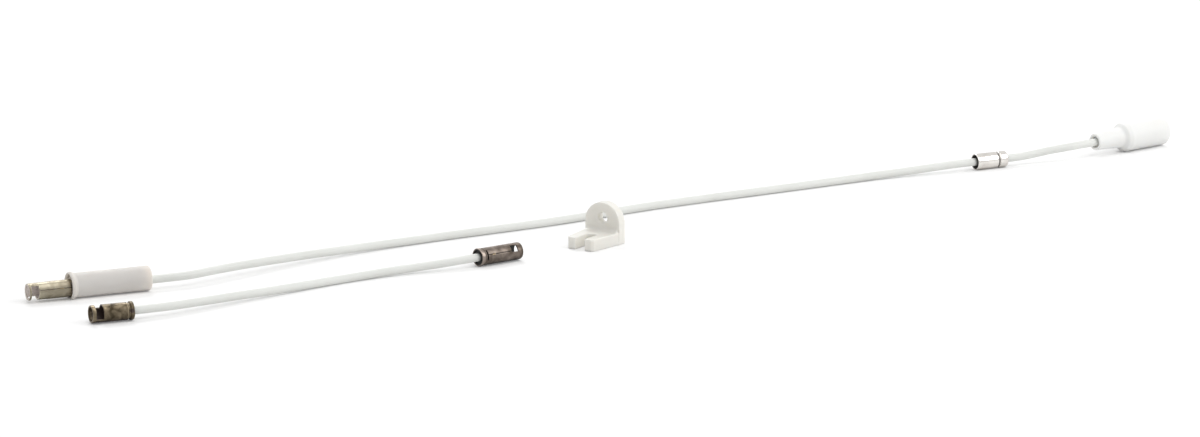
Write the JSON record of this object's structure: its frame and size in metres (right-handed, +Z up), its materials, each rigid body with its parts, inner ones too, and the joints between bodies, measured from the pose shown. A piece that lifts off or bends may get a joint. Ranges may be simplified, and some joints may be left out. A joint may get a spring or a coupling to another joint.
{
  "type": "ignition lead set",
  "caption": "Set of white high-voltage ignition leads with slotted snap-socket terminals, a sliding guard sleeve, an inline ferrule and a boot, with a loose forked guide bracket.",
  "frame": {"origin": "middle of the laid-out set's box without the free cables, on the table", "axes": "+X along the long lead from the guard sleeve to the boot, +Y from the jumper to the long lead, +Z up from the table"},
  "size_m": [0.667, 0.0778, 0.0204],
  "materials": {
    "nickel_brass": "satin nickel over brass",
    "dark_bronze": "darkened",
    "dull_nickel": "dull",
    "bright_nickel": "bright",
    "contact_brass": "turned",
    "conductor": "bare copper",
    "silicone_cable": "smooth white silicone",
    "silicone_boot": "smooth white silicone",
    "sleeve_white": "matt, slightly pink white",
    "bracket_white": "glossy white"
  },
  "bodies": {
    "main_lead": {"main_terminal": "nickel_brass", "main_contact": "contact_brass", "main_jacket": "silicone_cable", "main_core": "conductor", "splice_ferrule": "bright_nickel", "splice_contact": "contact_brass", "tail_jacket": "silicone_cable", "tail_core": "conductor", "boot_terminal": "nickel_brass", "boot_contact": "contact_brass"},
    "guard_sleeve": {"guard_sleeve": "sleeve_white"},
    "boot": {"boot": "silicone_boot"},
    "jumper_lead": {"jumper_front_terminal": "dark_bronze", "jumper_front_contact": "contact_brass", "jumper_jacket": "silicone_cable", "jumper_core": "conductor", "jumper_rear_terminal": "dull_nickel", "jumper_rear_contact": "contact_brass"},
    "guide_bracket": {"guide_bracket": "bracket_white"}
  },
  "joints": [
    {"name": "sleeve_slide", "type": "slide", "parent": "main_lead", "child": "guard_sleeve", "axis": [-0.9929, 0.1191, 0], "range_m": [-0.01, 0.032]},
    {"name": "boot_slide", "type": "slide", "parent": "main_lead", "child": "boot", "axis": [-0.9889, -0.1483, 0], "range_m": [0, 0.012]},
    {"name": "jumper_place", "type": "slide", "parent": "main_lead", "child": "jumper_lead", "axis": [0, -1, 0], "range_m": [0, 0.04]},
    {"name": "bracket_place", "type": "slide", "parent": "main_lead", "child": "guide_bracket", "axis": [0, -1, 0], "range_m": [0, 0.03]}
  ]
}
